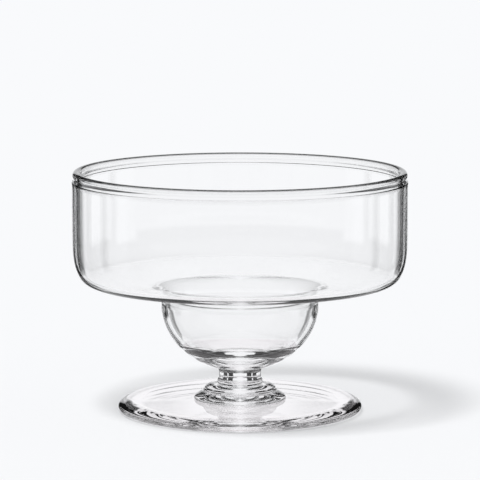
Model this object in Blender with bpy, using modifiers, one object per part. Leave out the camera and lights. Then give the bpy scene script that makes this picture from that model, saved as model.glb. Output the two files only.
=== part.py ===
"""A clear cocktail glass: a wide cup over a round well, on a short stem, two mereses and a thick foot.

The six pieces are turned shapes that share the vertical axis. They stand on each other from the foot up, and each
one meets the next at a flat weld face, with a small gap. Units are metres, +Z is up and the origin is on the table.
"""

import math

import bpy

# Foot: a disc with a rounded edge and a flat resting ring below
FOOT_RADIUS = 0.0365
FOOT_THICKNESS = 0.00325
FOOT_EDGE_HEIGHT = 0.0014
FOOT_SHOULDER = 0.0050
FOOT_UNDERCUT = 0.0019
REST_RING_WIDTH = 0.0049
KICK_HEIGHT = 0.0009

# Mereses: two round-edged discs between the foot and the stem
LOWER_MERESE_RADIUS = 0.01375
LOWER_MERESE_THICKNESS = 0.0020
UPPER_MERESE_RADIUS = 0.01100
UPPER_MERESE_THICKNESS = 0.0020
MERESE_EDGE = 0.0020

# Stem: a short solid rod that flares into the well and ends in a small ring at the bottom
STEM_LENGTH = 0.0050
STEM_TOP_RADIUS = 0.0083
STEM_RADIUS = 0.0063
STEM_FLARE_HEIGHT = 0.0013
STEM_RING_RADIUS = 0.0068
STEM_RING_HEIGHT = 0.0017

# Well: a round bowl of even wall with a solid base and a shallow inner floor
WELL_RADIUS = 0.0235
WELL_WALL = 0.0018
WELL_DEPTH = 0.01833
WELL_BASE_THICKNESS = 0.0047
WELL_FLAT_RADIUS = 0.0075
WELL_TURN_ANGLE = 35.0
WELL_TURN_SHARE = 0.72

# Cup: a straight wall with a rounded lower corner, a floor that falls towards the middle and a collar to the well
CUP_RADIUS = 0.0500
CUP_WALL = 0.0018
CUP_HEIGHT = 0.03335
CORNER_REACH = 0.0053
CORNER_RISE = 0.0122
CORNER_POWER = 2.5
FLOOR_LEAN = 9.0
COLLAR_ROUND = 0.0040

# Fire-polished bead round the mouth, a little thicker than the wall and set a little inside it
BEAD_SWELL = 0.0003
BEAD_INSET = 0.0002
BEAD_NECK = 0.0035
BEAD_OUTER_END = -25.0
BEAD_INNER_END = 215.0

# Gap left at each weld between two pieces
WELD_GAP = 0.0003

# Fineness of the turned shapes
STEPS_ROUND = 48
CURVE_POINTS = 8
BOWL_POINTS = 12
MERGE_DISTANCE = 0.00001

# Heights of the pieces above the table
LOWER_MERESE_BASE = FOOT_THICKNESS + WELD_GAP
UPPER_MERESE_BASE = LOWER_MERESE_BASE + LOWER_MERESE_THICKNESS + WELD_GAP
STEM_BASE = UPPER_MERESE_BASE + UPPER_MERESE_THICKNESS + WELD_GAP
WELL_BASE = STEM_BASE + STEM_LENGTH + WELD_GAP
CUP_BASE = WELL_BASE + WELL_DEPTH + WELD_GAP

GLASS_COLOUR = (0.97, 0.98, 0.98, 1.0)
GLASS_ROUGHNESS = 0.02
GLASS_IOR = 1.5


def quarter_curve(upright, level, power=2.0):
    """A quarter superellipse that leaves the point `upright` vertically and arrives at `level` horizontally."""
    reach = level[0] - upright[0]
    rise = level[1] - upright[1]
    points = [upright]
    for step in range(1, CURVE_POINTS - 1):
        turn = 0.5 * math.pi * step / (CURVE_POINTS - 1)
        across = 1.0 - math.cos(turn) ** (2.0 / power)
        along = math.sin(turn) ** (2.0 / power)
        points.append((upright[0] + reach * across, upright[1] + rise * along))
    points.append(level)
    return points


def arc(centre, radius, start, end):
    """A circular arc between two angles in degrees, counted from the outward direction up."""
    points = []
    for step in range(CURVE_POINTS):
        angle = math.radians(start + (end - start) * step / (CURVE_POINTS - 1))
        points.append((centre[0] + radius * math.cos(angle), centre[1] + radius * math.sin(angle)))
    return points


def bowl_curve(radius, semi_height, equator, last, inset):
    """An upright ellipse from its equator down to the angle `last`, moved square to itself by `inset`."""
    points = []
    for step in range(BOWL_POINTS):
        angle = last * step / (BOWL_POINTS - 1)
        across = math.cos(angle)
        down = math.sin(angle)
        steepness = math.hypot(across / radius, down / semi_height)
        points.append((
            radius * across - inset * across / (radius * steepness),
            equator - semi_height * down + inset * down / (semi_height * steepness),
        ))
    return points


def bezier(start, first, second, end):
    """A cubic curve that leaves `start` towards `first` and arrives at `end` from `second`."""
    points = []
    for step in range(BOWL_POINTS):
        share = step / (BOWL_POINTS - 1)
        rest = 1.0 - share
        weights = (rest**3, 3.0 * rest**2 * share, 3.0 * rest * share**2, share**3)
        corners = (start, first, second, end)
        points.append(tuple(sum(w * c[axis] for w, c in zip(weights, corners)) for axis in (0, 1)))
    return points


def glass_material(name):
    material = bpy.data.materials.new(name)
    material.use_nodes = True
    shader = material.node_tree.nodes["Principled BSDF"]
    shader.inputs["Base Color"].default_value = GLASS_COLOUR
    shader.inputs["Metallic"].default_value = 0.0
    shader.inputs["Roughness"].default_value = GLASS_ROUGHNESS
    shader.inputs["IOR"].default_value = GLASS_IOR
    shader.inputs["Transmission Weight"].default_value = 1.0
    return material


def turned_piece(name, profile, ring, height, parent, collection):
    """A solid of revolution about Z, standing at `height`. A ring's profile is a closed loop; any other profile
    starts and ends on the axis. Profiles run down the outer side."""
    edges = [(start, start + 1) for start in range(len(profile) - 1)]
    if ring:
        edges.append((len(profile) - 1, 0))
    mesh = bpy.data.meshes.new(name)
    mesh.from_pydata([(radius, 0.0, level) for radius, level in profile], edges, [])
    mesh.materials.append(glass_material(name + "_glass"))
    piece = bpy.data.objects.new(name, mesh)
    piece.parent = parent
    piece.location.z = height
    collection.objects.link(piece)
    screw = piece.modifiers.new("turn", "SCREW")
    screw.axis = "Z"
    screw.angle = math.tau
    screw.steps = STEPS_ROUND
    screw.render_steps = STEPS_ROUND
    screw.use_smooth_shade = True
    screw.use_merge_vertices = True
    screw.merge_threshold = MERGE_DISTANCE
    return piece


def foot_profile():
    rest_outer = FOOT_RADIUS - FOOT_UNDERCUT
    rest_inner = rest_outer - REST_RING_WIDTH
    widest = (FOOT_RADIUS, FOOT_EDGE_HEIGHT)
    shoulder = (FOOT_RADIUS - FOOT_SHOULDER, FOOT_THICKNESS)
    kick_radius = (rest_inner**2 + KICK_HEIGHT**2) / (2.0 * KICK_HEIGHT)
    kick_start = 90.0 - math.degrees(math.asin(rest_inner / kick_radius))
    profile = [(0.0, FOOT_THICKNESS)]
    profile += quarter_curve(widest, shoulder)[::-1]
    profile += quarter_curve(widest, (rest_outer, 0.0))[1:]
    profile += arc((0.0, KICK_HEIGHT - kick_radius), kick_radius, kick_start, 90.0)[:-1]
    profile.append((0.0, KICK_HEIGHT))
    return profile


def merese_profile(radius, thickness):
    widest = (radius, 0.5 * thickness)
    profile = [(0.0, thickness)]
    profile += quarter_curve(widest, (radius - MERESE_EDGE, thickness))[::-1]
    profile += quarter_curve(widest, (radius - MERESE_EDGE, 0.0))[1:]
    profile.append((0.0, 0.0))
    return profile


def stem_profile():
    flare = (STEM_RADIUS, STEM_LENGTH - STEM_FLARE_HEIGHT)
    ring = (STEM_RING_RADIUS, 0.5 * STEM_RING_HEIGHT)
    profile = [(0.0, STEM_LENGTH)]
    profile += quarter_curve(flare, (STEM_TOP_RADIUS, STEM_LENGTH))[::-1]
    profile += quarter_curve(ring, (STEM_RADIUS, STEM_RING_HEIGHT))[::-1]
    profile += quarter_curve(ring, (STEM_RADIUS, 0.0))[1:]
    profile.append((0.0, 0.0))
    return profile


def well_profile():
    last = math.acos(STEM_TOP_RADIUS / WELL_RADIUS)
    semi_height = WELL_DEPTH / math.sin(last)
    turn = math.radians(WELL_TURN_ANGLE)
    inside = bowl_curve(WELL_RADIUS, semi_height, WELL_DEPTH, turn, WELL_WALL)
    fall = inside[-1][1] - WELL_BASE_THICKNESS
    run = fall * WELL_RADIUS * math.sin(turn) / (semi_height * math.cos(turn))
    steep = (inside[-1][0] - WELL_TURN_SHARE * run, inside[-1][1] - WELL_TURN_SHARE * fall)
    floor = bezier(
        inside[-1], steep, (WELL_FLAT_RADIUS, WELL_BASE_THICKNESS), (0.0, WELL_BASE_THICKNESS)
    )
    profile = floor[::-1] + inside[:-1][::-1]
    profile += bowl_curve(WELL_RADIUS, semi_height, WELL_DEPTH, last, 0.0)
    profile.append((0.0, 0.0))
    return profile


def cup_profile():
    lean = math.radians(FLOOR_LEAN)
    inner_radius = CUP_RADIUS - CUP_WALL
    floor_end = CUP_RADIUS - CORNER_REACH
    touch = WELL_RADIUS + COLLAR_ROUND * (1.0 - math.sin(lean))
    underside = COLLAR_ROUND * math.cos(lean) + math.tan(lean) * (floor_end - touch)
    floor = underside + CUP_WALL / math.cos(lean)
    corner_top = underside + CORNER_RISE
    top = underside + CUP_HEIGHT
    neck = top - BEAD_NECK
    bead_radius = 0.5 * CUP_WALL + BEAD_SWELL
    bead = (CUP_RADIUS - BEAD_INSET - bead_radius, top - bead_radius)
    collar = (WELL_RADIUS + COLLAR_ROUND, 0.0)
    outer_corner = quarter_curve((CUP_RADIUS, corner_top), (floor_end, underside), CORNER_POWER)
    inner_corner = quarter_curve((inner_radius, corner_top), (floor_end, floor), CORNER_POWER)
    profile = arc(bead, bead_radius, BEAD_INNER_END, BEAD_OUTER_END)
    profile.append((CUP_RADIUS, neck))
    profile += [(r, z + math.tan(lean) * (r - floor_end)) for r, z in outer_corner]
    profile += arc(collar, COLLAR_ROUND, 90.0 + FLOOR_LEAN, 180.0)
    profile += arc(collar, COLLAR_ROUND + CUP_WALL, 180.0, 90.0 + FLOOR_LEAN)
    profile += [(r, z + math.tan(lean) * (r - floor_end)) for r, z in inner_corner][::-1]
    profile.append((inner_radius, neck))
    return profile


def main():
    for old in list(bpy.data.objects):
        bpy.data.objects.remove(old)
    collection = bpy.data.collections.new("cocktail_glass")
    bpy.context.scene.collection.children.link(collection)
    stand = bpy.data.objects.new("cocktail_glass", None)
    collection.objects.link(stand)
    lower_merese = merese_profile(LOWER_MERESE_RADIUS, LOWER_MERESE_THICKNESS)
    upper_merese = merese_profile(UPPER_MERESE_RADIUS, UPPER_MERESE_THICKNESS)
    turned_piece("foot", foot_profile(), False, 0.0, stand, collection)
    turned_piece("lower_merese", lower_merese, False, LOWER_MERESE_BASE, stand, collection)
    turned_piece("upper_merese", upper_merese, False, UPPER_MERESE_BASE, stand, collection)
    turned_piece("stem", stem_profile(), False, STEM_BASE, stand, collection)
    turned_piece("well", well_profile(), False, WELL_BASE, stand, collection)
    turned_piece("cup", cup_profile(), True, CUP_BASE, stand, collection)


main()
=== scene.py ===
"""Looks of a clear cocktail glass: six turned glass pieces on a pale floor in plain soft studio light.

Each piece stands for one solid of the frame. The pieces are turned again from finer profiles and meet at
their welds, where the glass runs through unbroken. Units are metres, and heights are above the table.
"""

import math
from typing import NamedTuple

import bpy
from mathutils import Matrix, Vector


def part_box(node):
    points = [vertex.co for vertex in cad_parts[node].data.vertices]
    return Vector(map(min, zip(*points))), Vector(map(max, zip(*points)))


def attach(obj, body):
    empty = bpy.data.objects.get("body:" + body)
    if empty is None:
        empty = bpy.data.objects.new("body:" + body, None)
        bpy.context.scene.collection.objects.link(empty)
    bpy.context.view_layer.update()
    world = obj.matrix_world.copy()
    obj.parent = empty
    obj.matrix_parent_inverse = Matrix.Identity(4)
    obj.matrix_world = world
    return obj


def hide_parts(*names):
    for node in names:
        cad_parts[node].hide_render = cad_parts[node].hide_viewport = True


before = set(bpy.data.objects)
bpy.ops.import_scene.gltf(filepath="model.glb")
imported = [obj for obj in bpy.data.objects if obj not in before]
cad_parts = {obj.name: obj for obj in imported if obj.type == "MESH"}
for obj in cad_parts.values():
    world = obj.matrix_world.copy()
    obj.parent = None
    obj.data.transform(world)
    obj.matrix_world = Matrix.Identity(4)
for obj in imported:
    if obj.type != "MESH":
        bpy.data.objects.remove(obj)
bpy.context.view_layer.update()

# Outer sizes that the frame gives
FOOT_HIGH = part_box("foot")[1]
LOWER_LOW, LOWER_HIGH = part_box("lower_merese")
UPPER_LOW, UPPER_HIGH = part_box("upper_merese")
STEM_LOW, STEM_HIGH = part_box("stem")
WELL_LOW, WELL_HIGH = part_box("well")
CUP_LOW, CUP_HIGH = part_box("cup")
FOOT_RADIUS = FOOT_HIGH[0]
LOWER_MERESE_RADIUS = LOWER_HIGH[0]
UPPER_MERESE_RADIUS = UPPER_HIGH[0]
STEM_TOP_RADIUS = STEM_HIGH[0]
WELL_RADIUS = WELL_HIGH[0]
CUP_RADIUS = CUP_HIGH[0]
RIM_TOP = CUP_HIGH[2]

# Heights of the welds, in the middle of the gaps between the solids
FOOT_WELD = 0.5 * (FOOT_HIGH[2] + LOWER_LOW[2])
MERESE_WELD = 0.5 * (LOWER_HIGH[2] + UPPER_LOW[2])
STEM_WELD = 0.5 * (UPPER_HIGH[2] + STEM_LOW[2])
WELL_WELD = 0.5 * (STEM_HIGH[2] + WELL_LOW[2])
CUP_WELD = 0.5 * (WELL_HIGH[2] + CUP_LOW[2])

# Foot
FOOT_EDGE_HEIGHT = 0.0014
FOOT_SHOULDER = 0.0050
FOOT_UNDERCUT = 0.0019
REST_RING_WIDTH = 0.0049
KICK_HEIGHT = 0.0009

# Mereses, domed above their widest height and undercut below it
LOWER_EDGE = 0.0045
LOWER_UNDERCUT = 0.0003
UPPER_EDGE = 0.0030
UPPER_UNDERCUT = 0.0003
EDGE_POWER = 1.8
WIDEST_SHARE = 0.15

# Stem
STEM_RADIUS = 0.0063
STEM_FLARE_HEIGHT = 0.0018
STEM_RING_RADIUS = 0.0068
STEM_RING_HEIGHT = 0.0017

# Well, with its turn angle in degrees
WELL_WALL = 0.0018
WELL_BASE_THICKNESS = 0.0047
WELL_FLAT_RADIUS = 0.0075
WELL_TURN_ANGLE = 35.0
WELL_TURN_SHARE = 0.72

# Cup, with the lean of its floor in degrees
CUP_WALL = 0.0018
CORNER_REACH = 0.0053
CORNER_RISE = 0.0122
CORNER_POWER = 2.5
FLOOR_LEAN = 9.0
COLLAR_ROUND = 0.0040
MOUTH_ROUND = 0.0045

# Bead round the mouth, with its ends in degrees, and the shoulder under it
BEAD_SWELL = 0.0003
BEAD_INSET = 0.0002
BEAD_NECK = 0.0035
BEAD_OUTER_END = -40.0
BEAD_INNER_END = 215.0
SHOULDER_HEIGHT = 0.0030
SHOULDER_ROUND = 0.0005

# Weld faces: height and outer radius
FOOT_NECK = LOWER_MERESE_RADIUS - LOWER_UNDERCUT
MERESE_NECK = min(UPPER_MERESE_RADIUS - UPPER_UNDERCUT, LOWER_MERESE_RADIUS - LOWER_EDGE)
WELDS = (
    (FOOT_WELD, FOOT_NECK),
    (MERESE_WELD, MERESE_NECK),
    (STEM_WELD, STEM_RADIUS),
    (WELL_WELD, STEM_TOP_RADIUS),
    (CUP_WELD, WELL_RADIUS),
)

# Fineness of the turned meshes
STEPS_ROUND = 240
CURVE_POINTS = 24
BOWL_POINTS = 40
LONGEST_STRETCH = 0.0010
SHARP_ANGLE = math.radians(40.0)
TINY = 1e-7

# Glass, and the share of light that its shadow lets pass
CLEAR_TINT = (1.0, 1.0, 1.0)
FOOT_TINT = (1.0, 0.972, 0.982)
GLASS_IOR = 1.5
POLISH_ROUGHNESS = 0.012
LIGHT_PASSED = 0.92
GRAZE_POWER = 2.0

# Painted shade: a dark line in the glass's colour along the crest of the rim, for its dark refraction
PAINTED_RIM_SHADE_HEIGHT = 0.0007
PAINTED_RIM_SHADE_CREST = 0.00021
PAINTED_RIM_SHADE_TONE = 0.02

# Marks of the hand work: waves and turning marks everywhere, and ripples near some welds and the rim
WAVE_SCALE = (55.0, 55.0, 55.0)
WAVE_DEPTH = 0.00001
TURNING_SCALE = (18.0, 18.0, 700.0)
TURNING_DEPTH = 0.0000008
RIPPLE_SCALE = (160.0, 160.0, 260.0)
RIPPLE_DEPTH = 0.000015
FOOT_RIPPLE_REACH = 0.0010
WELL_RIPPLE_REACH = 0.0020
COLLAR_RIPPLE_REACH = 0.0040
RIM_RIPPLE_REACH = 0.0030

# Background, as linear colour
BACKGROUND = (0.9473, 0.9559, 0.9734, 1.0)

# Camera
CAMERA_PLACE = (0.0, -0.88267, 0.17476)
CAMERA_PITCH = math.radians(7.965)
CAMERA_LENS = 224.31
CAMERA_SENSOR = 36.0
CLIP_START = 0.01
CLIP_END = 200.0

# Key light, high at the front left, and its share of the light on the floor
KEY_SWING = math.radians(50.0)
KEY_RISE = math.radians(69.0)
KEY_SHARE = 0.8
KEY_ANGLE = math.radians(20.0)

# Floor
FLOOR_HALF_SIZE = 30.0
FLOOR_DROP = 0.00005
FLOOR_ALBEDO = 0.8
FLOOR_GLARE = 0.25

# Bounces that a ray may take: in all and through glass, and off gloss
GLASS_BOUNCES = 32
GLOSSY_BOUNCES = 16

# Studio that the glass shows. Swings go to either side of straight behind the glass and rises go up from the
# horizon, in degrees. The bounds here lie past all directions, for fields that have no edge there.
BEHIND = -60.0
AROUND = 240.0
BELOW = -120.0
ABOVE = 120.0
DARK_FIELD = 0.01


class Field(NamedTuple):
    """One lit field of the studio, between two swings and two rises, with soft edges."""

    name: str
    swings: tuple
    rises: tuple
    softness: float
    brightness: float


STUDIO = (
    Field("backdrop", (BEHIND, 13.0), (-28.0, 12.0), 2.0, 1.0),
    Field("backdrop top", (BEHIND, 6.0), (-44.0, ABOVE), 4.0, 0.97),
    Field("slit light", (23.5, 26.5), (-12.0, 4.0), 1.0, 1.0),
    Field("side panel", (39.5, 70.0), (-17.0, -3.0), 1.0, 1.0),
    Field("side lane", (77.0, 98.0), (-36.0, 4.0), 4.0, 1.0),
    Field("front table", (96.0, AROUND), (-36.0, -4.0), 4.0, 0.8),
    Field("front ceiling", (108.0, AROUND), (16.0, ABOVE), 14.0, 0.25),
    Field("zenith", (BEHIND, AROUND), (70.0, ABOVE), 10.0, 0.25),
    Field("corner table", (114.0, 156.0), (-36.0, -6.0), 10.0, 0.97),
    Field("tabletop", (BEHIND, AROUND), (BELOW, -27.0), 4.0, 0.97),
    Field("flank table", (26.0, AROUND), (-30.0, -15.0), 2.0, 0.97),
)


def quarter_curve(upright, level, power=2.0):
    """A quarter superellipse, vertical at the point `upright` and horizontal at the point `level`."""
    reach = level[0] - upright[0]
    rise = level[1] - upright[1]
    points = [upright]
    for step in range(1, CURVE_POINTS - 1):
        turn = 0.5 * math.pi * step / (CURVE_POINTS - 1)
        across = 1.0 - math.cos(turn) ** (2.0 / power)
        along = math.sin(turn) ** (2.0 / power)
        points.append((upright[0] + reach * across, upright[1] + rise * along))
    points.append(level)
    return points


def arc(centre, radius, start, end):
    """A circular arc between two angles in degrees, counted from the outward direction up."""
    points = []
    for step in range(CURVE_POINTS):
        angle = math.radians(start + (end - start) * step / (CURVE_POINTS - 1))
        points.append((centre[0] + radius * math.cos(angle), centre[1] + radius * math.sin(angle)))
    return points


def bowl_curve(radius, semi_height, equator, last, inset):
    """An upright ellipse from its equator down to the angle `last`, moved square to itself by `inset`."""
    points = []
    for step in range(BOWL_POINTS):
        angle = last * step / (BOWL_POINTS - 1)
        across = math.cos(angle)
        down = math.sin(angle)
        steepness = math.hypot(across / radius, down / semi_height)
        points.append((
            radius * across - inset * across / (radius * steepness),
            equator - semi_height * down + inset * down / (semi_height * steepness),
        ))
    return points


def bezier(start, first, second, end):
    """A cubic curve that leaves `start` towards `first` and arrives at `end` from `second`."""
    corners = (start, first, second, end)
    points = []
    for step in range(BOWL_POINTS):
        share = step / (BOWL_POINTS - 1)
        rest = 1.0 - share
        weights = (rest**3, 3.0 * rest**2 * share, 3.0 * rest * share**2, share**3)
        points.append(tuple(
            sum(weight * corner[axis] for weight, corner in zip(weights, corners)) for axis in (0, 1)
        ))
    return points


def leaning(points, lean, pivot):
    """The same points, raised outward from the radius `pivot` at the angle `lean`."""
    return [(radius, height + math.tan(lean) * (radius - pivot)) for radius, height in points]


def foot_profile():
    """A disc with a rounded edge, a flat resting ring and a slightly hollow underside."""
    rest_outer = FOOT_RADIUS - FOOT_UNDERCUT
    rest_inner = rest_outer - REST_RING_WIDTH
    widest = (FOOT_RADIUS, FOOT_EDGE_HEIGHT)
    shoulder = (FOOT_RADIUS - FOOT_SHOULDER, FOOT_WELD)
    kick_radius = (rest_inner**2 + KICK_HEIGHT**2) / (2.0 * KICK_HEIGHT)
    kick_start = 90.0 - math.degrees(math.asin(rest_inner / kick_radius))
    profile = [(0.0, FOOT_WELD), (FOOT_NECK, FOOT_WELD)]
    profile += quarter_curve(widest, shoulder)[::-1]
    profile += quarter_curve(widest, (rest_outer, 0.0))[1:]
    profile += arc((0.0, KICK_HEIGHT - kick_radius), kick_radius, kick_start, 90.0)[:-1]
    profile.append((0.0, KICK_HEIGHT))
    return profile


def merese_profile(radius, edge, undercut, bottom, top, weld_below, weld_above):
    """A round-edged disc, welded on both sides out to the radii `weld_below` and `weld_above`."""
    widest = (radius, bottom + WIDEST_SHARE * (top - bottom))
    profile = [(0.0, top), (weld_above, top)]
    profile += quarter_curve(widest, (radius - edge, top), EDGE_POWER)[::-1]
    profile += quarter_curve(widest, (radius - undercut, bottom), EDGE_POWER)[1:]
    profile += [(weld_below, bottom), (0.0, bottom)]
    return profile


def stem_profile():
    """A short rod that flares into the well and ends in a small ring at the bottom."""
    flare = (STEM_RADIUS, WELL_WELD - STEM_FLARE_HEIGHT)
    ring = (STEM_RING_RADIUS, STEM_WELD + 0.5 * STEM_RING_HEIGHT)
    profile = [(0.0, WELL_WELD)]
    profile += quarter_curve(flare, (STEM_TOP_RADIUS, WELL_WELD))[::-1]
    profile += quarter_curve(ring, (STEM_RADIUS, STEM_WELD + STEM_RING_HEIGHT))[::-1]
    profile += quarter_curve(ring, (STEM_RADIUS, STEM_WELD))[1:]
    profile.append((0.0, STEM_WELD))
    return profile


def well_profile():
    """A round bowl with an even wall above, a solid base and a shallow inner floor."""
    depth = CUP_WELD - WELL_WELD
    last = math.acos(STEM_TOP_RADIUS / WELL_RADIUS)
    semi_height = depth / math.sin(last)
    turn = math.radians(WELL_TURN_ANGLE)
    floor_height = WELL_WELD + WELL_BASE_THICKNESS
    inside = bowl_curve(WELL_RADIUS, semi_height, CUP_WELD, turn, WELL_WALL)
    fall = inside[-1][1] - floor_height
    run = fall * WELL_RADIUS * math.sin(turn) / (semi_height * math.cos(turn))
    steep = (inside[-1][0] - WELL_TURN_SHARE * run, inside[-1][1] - WELL_TURN_SHARE * fall)
    floor = bezier(inside[-1], steep, (WELL_FLAT_RADIUS, floor_height), (0.0, floor_height))
    profile = floor[::-1] + inside[:-1][::-1]
    profile += bowl_curve(WELL_RADIUS, semi_height, CUP_WELD, last, 0.0)
    profile.append((0.0, WELL_WELD))
    return profile


def mouth_edge(collar, lean):
    """The inner edge where the well opens into the cup, from the well's wall up to the cup's floor."""
    start = (collar[0] - COLLAR_ROUND - CUP_WALL, collar[1])
    slack = COLLAR_ROUND + CUP_WALL - MOUTH_ROUND
    rise = slack * (1.0 - math.sin(lean)) / math.cos(lean)
    centre = (start[0] + MOUTH_ROUND, start[1] + rise)
    return [start] + arc(centre, MOUTH_ROUND, 180.0, 90.0 + FLOOR_LEAN)


def cup_profile():
    """A closed loop: down the outer side from the bead to the collar, and up the inner side again."""
    lean = math.radians(FLOOR_LEAN)
    inner_radius = CUP_RADIUS - CUP_WALL
    floor_end = CUP_RADIUS - CORNER_REACH
    touch = WELL_RADIUS + COLLAR_ROUND * (1.0 - math.sin(lean))
    underside = CUP_WELD + COLLAR_ROUND * math.cos(lean) + math.tan(lean) * (floor_end - touch)
    floor = underside + CUP_WALL / math.cos(lean)
    corner_top = underside + CORNER_RISE
    neck = RIM_TOP - BEAD_NECK
    bead_radius = 0.5 * CUP_WALL + BEAD_SWELL
    bead = (CUP_RADIUS - BEAD_INSET - bead_radius, RIM_TOP - bead_radius)
    groove = (CUP_RADIUS - SHOULDER_ROUND, RIM_TOP - SHOULDER_HEIGHT)
    collar = (WELL_RADIUS + COLLAR_ROUND, CUP_WELD)
    outer_corner = quarter_curve((CUP_RADIUS, corner_top), (floor_end, underside), CORNER_POWER)
    inner_corner = quarter_curve((inner_radius, corner_top), (floor_end, floor), CORNER_POWER)
    profile = arc(bead, bead_radius, BEAD_INNER_END, BEAD_OUTER_END)
    profile += quarter_curve((CUP_RADIUS, groove[1] - SHOULDER_ROUND), groove)[::-1]
    profile += leaning(outer_corner, lean, floor_end)
    profile += arc(collar, COLLAR_ROUND, 90.0 + FLOOR_LEAN, 180.0)
    profile += mouth_edge(collar, lean)
    profile += leaning(inner_corner, lean, floor_end)[::-1]
    profile.append((inner_radius, neck))
    return profile


def is_weld(start, end):
    """Whether a profile's stretch from `start` to `end` lies in a weld face."""
    for height, radius in WELDS:
        level = abs(start[1] - height) < TINY and abs(end[1] - height) < TINY
        if level and max(start[0], end[0]) < radius + TINY:
            return True
    return False


def divided(profile, ring):
    """The same outline with more points along its long straight stretches, for even smooth shading."""
    points = []
    ends = profile[1:] + profile[:1] if ring else profile[1:]
    for start, end in zip(profile, ends):
        pieces = math.ceil(math.dist(start, end) / LONGEST_STRETCH)
        for piece in range(pieces):
            share = piece / pieces
            points.append((start[0] + share * (end[0] - start[0]), start[1] + share * (end[1] - start[1])))
    if not ring:
        points.append(profile[-1])
    return points


def turned_mesh(name, profile, ring):
    """A closed mesh turned about Z, with the second material on the faces in a weld.

    The profile of a ring is a closed loop. Any other profile starts and ends on the axis.
    """
    profile = divided(profile, ring)
    angles = [math.tau * step / STEPS_ROUND for step in range(STEPS_ROUND)]
    points = []
    starts = []
    for radius, height in profile:
        starts.append(len(points))
        if radius < TINY:
            points.append((0.0, 0.0, height))
        else:
            points += [(radius * math.cos(angle), radius * math.sin(angle), height) for angle in angles]
    faces = []
    welded = []
    last = len(profile) if ring else len(profile) - 1
    for here in range(last):
        there = (here + 1) % len(profile)
        circle = starts[here]
        next_circle = starts[there]
        in_weld = int(is_weld(profile[here], profile[there]))
        for step in range(STEPS_ROUND):
            after = (step + 1) % STEPS_ROUND
            if profile[here][0] < TINY:
                face = (circle, next_circle + step, next_circle + after)
            elif profile[there][0] < TINY:
                face = (circle + step, next_circle, circle + after)
            else:
                face = (circle + step, next_circle + step, next_circle + after, circle + after)
            faces.append(face)
            welded.append(in_weld)
    mesh = bpy.data.meshes.new(name)
    mesh.from_pydata(points, [], faces)
    mesh.polygons.foreach_set("material_index", welded)
    mesh.shade_smooth()
    mesh.set_sharp_from_angle(angle=SHARP_ANGLE)
    mesh.update()
    return mesh


class Graph:
    """Short ways to add nodes to a node tree."""

    def __init__(self, tree):
        self.tree = tree

    def node(self, kind, **settings):
        made = self.tree.nodes.new(kind)
        for key, value in settings.items():
            setattr(made, key, value)
        return made

    def feed(self, socket, value):
        """Link the socket to another one, or set it to a plain value."""
        if isinstance(value, bpy.types.NodeSocket):
            self.tree.links.new(value, socket)
        else:
            socket.default_value = value

    def math(self, operation, *values):
        made = self.node("ShaderNodeMath", operation=operation)
        for socket, value in zip(made.inputs, values):
            self.feed(socket, value)
        return made.outputs[0]

    def mix(self, kind, factor, first, second):
        """A mix of two numbers or two colours. Only the sockets of that kind are enabled on the node."""
        made = self.node("ShaderNodeMix", data_type=kind)
        sockets = [socket for socket in made.inputs if socket.enabled]
        for socket, value in zip(sockets, (factor, first, second)):
            self.feed(socket, value)
        return next(socket for socket in made.outputs if socket.enabled)

    def mix_shaders(self, factor, first, second):
        made = self.node("ShaderNodeMixShader")
        for socket, value in zip(made.inputs, (factor, first, second)):
            self.feed(socket, value)
        return made.outputs[0]

    def split(self, vector):
        """The X, Y and Z of a vector."""
        made = self.node("ShaderNodeSeparateXYZ")
        self.feed(made.inputs[0], vector)
        return made.outputs

    def ray(self, kind):
        return self.node("ShaderNodeLightPath").outputs[kind]

    def mirrored(self):
        """1 for rays that glass or gloss sends on from the camera's view, else 0."""
        sent = self.math("MAXIMUM", self.ray("Is Glossy Ray"), self.ray("Is Transmission Ray"))
        return self.math("MULTIPLY", sent, self.math("LESS_THAN", self.ray("Diffuse Depth"), 0.5))

    def step(self, value, start, end):
        """0 at `start` to 1 at `end`, eased."""
        made = self.node("ShaderNodeMapRange", interpolation_type="SMOOTHSTEP")
        self.feed(made.inputs["Value"], value)
        low, high, first, last = (start, end, 0.0, 1.0) if start < end else (end, start, 1.0, 0.0)
        made.inputs["From Min"].default_value = low
        made.inputs["From Max"].default_value = high
        made.inputs["To Min"].default_value = first
        made.inputs["To Max"].default_value = last
        return made.outputs["Result"]

    def window(self, value, low, high, soft):
        """1 between `low` and `high` and 0 outside, with edges of the width `soft`."""
        rising = self.step(value, low - 0.5 * soft, low + 0.5 * soft)
        falling = self.step(value, high + 0.5 * soft, high - 0.5 * soft)
        return self.math("MULTIPLY", rising, falling)

    def noise(self, place, scale):
        """Noise with its own scale along each axis."""
        scaled = self.node("ShaderNodeVectorMath", operation="MULTIPLY")
        self.feed(scaled.inputs[0], place)
        self.feed(scaled.inputs[1], scale)
        made = self.node("ShaderNodeTexNoise")
        self.feed(made.inputs["Vector"], scaled.outputs[0])
        self.feed(made.inputs["Scale"], 1.0)
        return made.outputs["Fac"]


def empty_material(name):
    material = bpy.data.materials.new(name)
    material.use_nodes = True
    material.node_tree.nodes.clear()
    return material


def tint_with_painted_rim_shade(graph, height, tint):
    """The glass's tint, with painted shade: a dark line along the crest of the rim in place of its dark
    refraction.
    """
    # painted shade: the colour darkens to a near-black tone towards the top of the rim
    crest = graph.step(height, RIM_TOP - PAINTED_RIM_SHADE_HEIGHT, RIM_TOP - PAINTED_RIM_SHADE_CREST)
    return graph.mix("RGBA", crest, (*tint, 1.0), (PAINTED_RIM_SHADE_TONE, PAINTED_RIM_SHADE_TONE, PAINTED_RIM_SHADE_TONE, 1.0))


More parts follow.
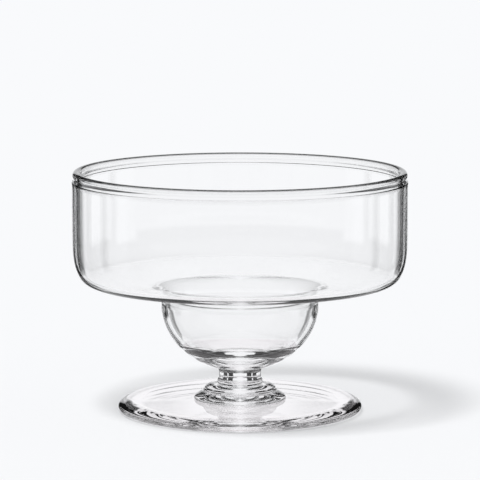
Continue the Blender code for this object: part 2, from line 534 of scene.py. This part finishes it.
def hand_work(graph, place, height, waves, ripples):
    """Normals of the uneven surface. Each entry of `ripples` is a height and a reach above and below it."""
    turning = graph.noise(place, TURNING_SCALE)
    relief = graph.math("MULTIPLY_ADD", turning, TURNING_DEPTH, graph.math("MULTIPLY", waves, WAVE_DEPTH))
    if ripples:
        near = 0.0
        for level, reach in ripples:
            near = graph.math("MAXIMUM", near, graph.window(height, level - reach, level + reach, reach))
        rippled = graph.math("MULTIPLY", graph.noise(place, RIPPLE_SCALE), near)
        relief = graph.math("MULTIPLY_ADD", rippled, RIPPLE_DEPTH, relief)
    bump = graph.node("ShaderNodeBump")
    bump.inputs["Distance"].default_value = 1.0
    graph.feed(bump.inputs["Height"], relief)
    return bump.outputs["Normal"]


def shadow_glass(graph):
    """What the glass is to shadow rays: clear, and darker where it is met at a slant."""
    slant = graph.node("ShaderNodeLayerWeight").outputs["Facing"]
    passed = graph.math("SUBTRACT", 1.0, graph.math("POWER", slant, GRAZE_POWER))
    clear = graph.node("ShaderNodeBsdfTransparent")
    graph.feed(clear.inputs["Color"], graph.math("MULTIPLY", passed, LIGHT_PASSED))
    return clear.outputs[0]


def glass_material(name, tint, ripples, painted_rim_shade):
    """Clear hand-worked glass, with a painted dark line of shade along the rim's crest for the cup."""
    material = bpy.data.materials.new(name)
    material.use_nodes = True
    tree = material.node_tree
    graph = Graph(tree)
    place = graph.node("ShaderNodeTexCoord").outputs["Object"]
    height = graph.split(place)["Z"]
    waves = graph.noise(place, WAVE_SCALE)
    shader = tree.nodes["Principled BSDF"]
    shader.inputs["Base Color"].default_value = (*tint, 1.0)
    shader.inputs["IOR"].default_value = GLASS_IOR
    shader.inputs["Transmission Weight"].default_value = 1.0
    # painted shade along the crest of the rim, in place of the dark refraction of clear glass
    if painted_rim_shade:
        graph.feed(shader.inputs["Base Color"], tint_with_painted_rim_shade(graph, height, tint))
    graph.feed(shader.inputs["Roughness"], graph.math("MULTIPLY", waves, POLISH_ROUGHNESS))
    graph.feed(shader.inputs["Normal"], hand_work(graph, place, height, waves, ripples))
    surface = graph.mix_shaders(graph.ray("Is Shadow Ray"), shader.outputs[0], shadow_glass(graph))
    graph.feed(tree.nodes["Material Output"].inputs["Surface"], surface)
    return material


def weld_material():
    """Nothing to see: the glass runs through."""
    material = empty_material("weld")
    graph = Graph(material.node_tree)
    clear = graph.node("ShaderNodeBsdfTransparent")
    graph.feed(graph.node("ShaderNodeOutputMaterial").inputs["Surface"], clear.outputs[0])
    return material


def add_piece(node, profile, weld, ripples=(), tint=CLEAR_TINT, ring=False):
    """One glass piece in place of the solid `node`. The only ring is the cup, which has the rim and the
    painted shade along it.
    """
    name = node + "_glass"
    mesh = turned_mesh(name, profile, ring)
    mesh.materials.append(glass_material(name, tint, ripples, painted_rim_shade=ring))
    mesh.materials.append(weld)
    piece = bpy.data.objects.new(name, mesh)
    bpy.context.scene.collection.objects.link(piece)
    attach(piece, "root")
    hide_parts(node)


def make_glass():
    weld = weld_material()
    lower = merese_profile(
        LOWER_MERESE_RADIUS, LOWER_EDGE, LOWER_UNDERCUT, FOOT_WELD, MERESE_WELD, FOOT_NECK, MERESE_NECK
    )
    upper = merese_profile(
        UPPER_MERESE_RADIUS, UPPER_EDGE, UPPER_UNDERCUT, MERESE_WELD, STEM_WELD, MERESE_NECK, STEM_RADIUS
    )
    foot_ripples = [(FOOT_WELD, FOOT_RIPPLE_REACH)]
    well_ripples = [(CUP_WELD, WELL_RIPPLE_REACH)]
    cup_ripples = [(CUP_WELD, COLLAR_RIPPLE_REACH), (RIM_TOP, RIM_RIPPLE_REACH)]
    add_piece("foot", foot_profile(), weld, foot_ripples, FOOT_TINT)
    add_piece("lower_merese", lower, weld)
    add_piece("upper_merese", upper, weld)
    add_piece("stem", stem_profile(), weld)
    add_piece("well", well_profile(), weld, well_ripples)
    add_piece("cup", cup_profile(), weld, cup_ripples, ring=True)


def seen_in_glass(graph, swing, rise):
    """Brightness of the studio that the glass shows, by direction."""
    seen = DARK_FIELD
    for field in STUDIO:
        low, high = (math.radians(angle) for angle in field.swings)
        bottom, top = (math.radians(angle) for angle in field.rises)
        soft = math.radians(field.softness)
        across = graph.window(swing, low, high, soft)
        upward = graph.window(rise, bottom, top, soft)
        shape = graph.math("MULTIPLY", across, upward)
        shape.node.label = field.name
        seen = graph.math("MAXIMUM", seen, graph.math("MULTIPLY", shape, field.brightness))
    return seen


def make_world():
    """Even light on the floor, the pale background to the camera, and the studio to rays from the glass."""
    world = bpy.data.worlds.new("studio")
    world.use_nodes = True
    tree = world.node_tree
    tree.nodes.clear()
    graph = Graph(tree)
    direction = graph.split(graph.node("ShaderNodeTexCoord").outputs["Generated"])
    swing = graph.math("ARCTAN2", graph.math("ABSOLUTE", direction["X"]), direction["Y"])
    rise = graph.math("ARCSINE", direction["Z"])
    lighting = (1.0 - KEY_SHARE) / FLOOR_ALBEDO
    plain = graph.math("MULTIPLY_ADD", graph.ray("Is Camera Ray"), 1.0 - lighting, lighting)
    seen = seen_in_glass(graph, swing, rise)
    background = graph.node("ShaderNodeBackground")
    background.inputs["Color"].default_value = BACKGROUND
    graph.feed(background.inputs["Strength"], graph.mix("FLOAT", graph.mirrored(), plain, seen))
    graph.feed(graph.node("ShaderNodeOutputWorld").inputs["Surface"], background.outputs[0])
    world.cycles.sampling_method = "NONE"
    bpy.context.scene.world = world


def floor_material():
    """A pale floor with a glare for the camera. Rays from the glass pass it and see the studio."""
    material = empty_material("floor")
    graph = Graph(material.node_tree)
    diffuse = graph.node("ShaderNodeBsdfDiffuse")
    diffuse.inputs["Color"].default_value = (FLOOR_ALBEDO, FLOOR_ALBEDO, FLOOR_ALBEDO, 1.0)
    glare = graph.node("ShaderNodeEmission")
    glare.inputs["Color"].default_value = BACKGROUND
    clear = graph.node("ShaderNodeBsdfTransparent")
    glare_share = graph.math("MULTIPLY", graph.ray("Is Camera Ray"), FLOOR_GLARE)
    lit = graph.mix_shaders(glare_share, diffuse.outputs[0], glare.outputs[0])
    surface = graph.mix_shaders(graph.mirrored(), lit, clear.outputs[0])
    graph.feed(graph.node("ShaderNodeOutputMaterial").inputs["Surface"], surface)
    material.cycles.emission_sampling = "NONE"
    return material


def make_floor():
    half = FLOOR_HALF_SIZE
    corners = [(-half, -half, 0.0), (half, -half, 0.0), (half, half, 0.0), (-half, half, 0.0)]
    mesh = bpy.data.meshes.new("floor")
    mesh.from_pydata(corners, [], [(0, 1, 2, 3)])
    mesh.materials.append(floor_material())
    floor = bpy.data.objects.new("floor", mesh)
    floor.location.z = -FLOOR_DROP
    bpy.context.scene.collection.objects.link(floor)


def make_key():
    light = bpy.data.lights.new("key", "SUN")
    light.angle = KEY_ANGLE
    light.energy = KEY_SHARE / FLOOR_ALBEDO * math.pi / math.sin(KEY_RISE)
    light.color = BACKGROUND[:3]
    lamp = bpy.data.objects.new("key", light)
    lamp.rotation_euler = (0.0, 0.5 * math.pi - KEY_RISE, math.pi + KEY_SWING)
    lamp.visible_glossy = False
    lamp.visible_transmission = False
    bpy.context.scene.collection.objects.link(lamp)


def make_camera():
    lens = bpy.data.cameras.new("camera")
    lens.lens = CAMERA_LENS
    lens.sensor_width = CAMERA_SENSOR
    lens.clip_start = CLIP_START
    lens.clip_end = CLIP_END
    camera = bpy.data.objects.new("camera", lens)
    camera.location = CAMERA_PLACE
    camera.rotation_euler = (0.5 * math.pi - CAMERA_PITCH, 0.0, 0.0)
    bpy.context.scene.collection.objects.link(camera)
    bpy.context.scene.camera = camera


def set_view_and_light_paths():
    scene = bpy.context.scene
    scene.view_settings.view_transform = "Standard"
    scene.cycles.max_bounces = GLASS_BOUNCES
    scene.cycles.transmission_bounces = GLASS_BOUNCES
    scene.cycles.transparent_max_bounces = GLASS_BOUNCES
    scene.cycles.glossy_bounces = GLOSSY_BOUNCES


make_glass()
make_world()
make_floor()
make_key()
make_camera()
set_view_and_light_paths()
